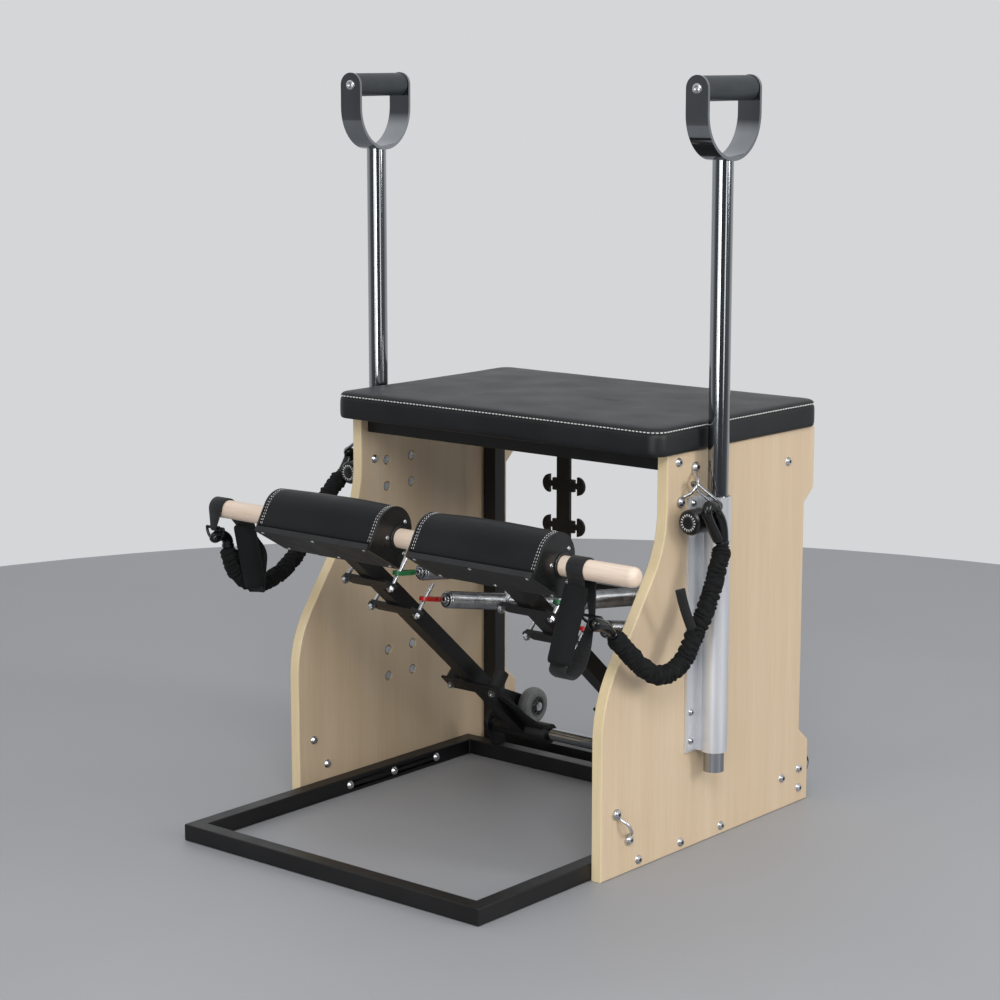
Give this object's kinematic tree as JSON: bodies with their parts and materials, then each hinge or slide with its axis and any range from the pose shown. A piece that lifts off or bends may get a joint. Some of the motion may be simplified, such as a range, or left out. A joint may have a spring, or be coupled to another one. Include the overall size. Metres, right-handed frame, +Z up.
{
  "type": "pilates chair",
  "caption": "Pilates chair with a padded seat, sprung split pedal joined by a dowel, adjustable side poles with handles, elastic cords with strap handles, and rear transport wheels.",
  "frame": {"origin": "on the floor, under the middle of the base frame's front bar", "axes": "+Z up, -Y towards the pedals in front, +X to the right-hand panel seen from the front"},
  "size_m": [0.8, 0.8105, 1.1055],
  "materials": {
    "maple": "satin maple laminate",
    "dowel_wood": "smooth turned hardwood",
    "board": "black-painted board",
    "vinyl": "black upholstery vinyl",
    "powder_coat": "semi-matt black powder coat",
    "zinc": "bright zinc",
    "spring_steel": "oiled spring wire",
    "chrome": "polished",
    "extrusion": "satin anodised",
    "black_plastic": "moulded black plastic",
    "red_plastic": "moulded red plastic",
    "green_plastic": "moulded green plastic",
    "grip_rubber": "matt black rubber",
    "tyre": "grey rubber",
    "cord_fabric": "gathered black fabric",
    "webbing": "black webbing"
  },
  "bodies": {
    "frame": {"base_frame": "powder_coat", "rear_frame": "powder_coat", "seat_front_rail": "powder_coat", "seat_board": "board", "seat_cushion": "vinyl", "pivot_shaft": "chrome", "shaft_brackets": "powder_coat", "wheel_brackets": "powder_coat", "frame_bolts": "zinc", "sleeve_bolts": "zinc", "anchor_loops": "zinc", "upper_links": "chrome", "upper_hooks": "black_plastic", "left_side_panel": "maple", "left_pole_sleeve": "extrusion", "left_spring_tree": "powder_coat", "left_elastic_cord": "cord_fabric", "left_upper_spring": "spring_steel", "left_lower_spring": "spring_steel", "right_side_panel": "maple", "right_pole_sleeve": "extrusion", "right_spring_tree": "powder_coat", "right_elastic_cord": "cord_fabric", "right_upper_spring": "spring_steel", "right_lower_spring": "spring_steel"},
    "left_pedal": {"left_pedal_arm": "powder_coat", "left_pedal_studs": "zinc", "left_pedal_bumpers": "grip_rubber", "left_pedal_board": "board", "left_pedal_pad": "vinyl", "left_pad_end_plates": "black_plastic", "left_upper_spring_loop": "green_plastic", "left_lower_spring_loop": "red_plastic", "dowel": "dowel_wood", "left_strap": "webbing", "right_strap": "webbing", "left_foam_grip": "grip_rubber", "right_foam_grip": "grip_rubber", "strap_rings": "chrome", "lower_hooks": "black_plastic"},
    "left_liner": {"left_pole_liner": "black_plastic"},
    "left_pole": {"left_pole": "chrome", "left_pole_grip": "grip_rubber"},
    "left_knob": {"left_clamp_knob": "black_plastic"},
    "left_wheel": {"left_wheel_tyre": "tyre", "left_wheel_hub": "black_plastic"},
    "right_pedal": {"right_pedal_arm": "powder_coat", "right_pedal_studs": "zinc", "right_pedal_bumpers": "grip_rubber", "right_pedal_board": "board", "right_pedal_pad": "vinyl", "right_pad_end_plates": "black_plastic", "right_upper_spring_loop": "green_plastic", "right_lower_spring_loop": "red_plastic"},
    "right_liner": {"right_pole_liner": "black_plastic"},
    "right_pole": {"right_pole": "chrome", "right_pole_grip": "grip_rubber"},
    "right_knob": {"right_clamp_knob": "black_plastic"},
    "right_wheel": {"right_wheel_tyre": "tyre", "right_wheel_hub": "black_plastic"}
  },
  "joints": [
    {"name": "left_pedal_press", "type": "hinge", "parent": "frame", "child": "left_pedal", "pos_m": [0, 0.598, 0.065], "axis": [1, 0, 0], "range_deg": [0, 38], "stiffness_Nm_per_rad": 45, "springref_deg": -57.3, "deforming": ["left_upper_spring", "left_lower_spring", "left_elastic_cord", "right_elastic_cord"]},
    {"name": "left_handle_turn", "type": "hinge", "parent": "frame", "child": "left_liner", "pos_m": [-0.326, 0.4604, 0.3], "axis": [0, 0, 1], "continuous": true},
    {"name": "left_pole_height", "type": "slide", "parent": "left_liner", "child": "left_pole", "axis": [0, 0, 1], "range_m": [-0.1, 0.25]},
    {"name": "left_knob_turn", "type": "hinge", "parent": "frame", "child": "left_knob", "pos_m": [-0.326, 0.4604, 0.489], "axis": [0, 1, 0], "continuous": true},
    {"name": "left_wheel_spin", "type": "hinge", "parent": "frame", "child": "left_wheel", "pos_m": [-0.261, 0.767, 0.047], "axis": [1, 0, 0], "continuous": true},
    {"name": "right_pedal_press", "type": "hinge", "parent": "frame", "child": "right_pedal", "pos_m": [0, 0.598, 0.065], "axis": [1, 0, 0], "range_deg": [0, 38], "stiffness_Nm_per_rad": 45, "springref_deg": -57.3, "deforming": ["right_upper_spring", "right_lower_spring"]},
    {"name": "right_handle_turn", "type": "hinge", "parent": "frame", "child": "right_liner", "pos_m": [0.326, 0.4604, 0.3], "axis": [0, 0, 1], "continuous": true},
    {"name": "right_pole_height", "type": "slide", "parent": "right_liner", "child": "right_pole", "axis": [0, 0, 1], "range_m": [-0.1, 0.25]},
    {"name": "right_knob_turn", "type": "hinge", "parent": "frame", "child": "right_knob", "pos_m": [0.326, 0.4604, 0.489], "axis": [0, 1, 0], "continuous": true},
    {"name": "right_wheel_spin", "type": "hinge", "parent": "frame", "child": "right_wheel", "pos_m": [0.261, 0.767, 0.047], "axis": [1, 0, 0], "continuous": true}
  ],
  "couplings": [
    {"joint": "right_pedal_press", "follows": "left_pedal_press", "ratio": 1}
  ]
}
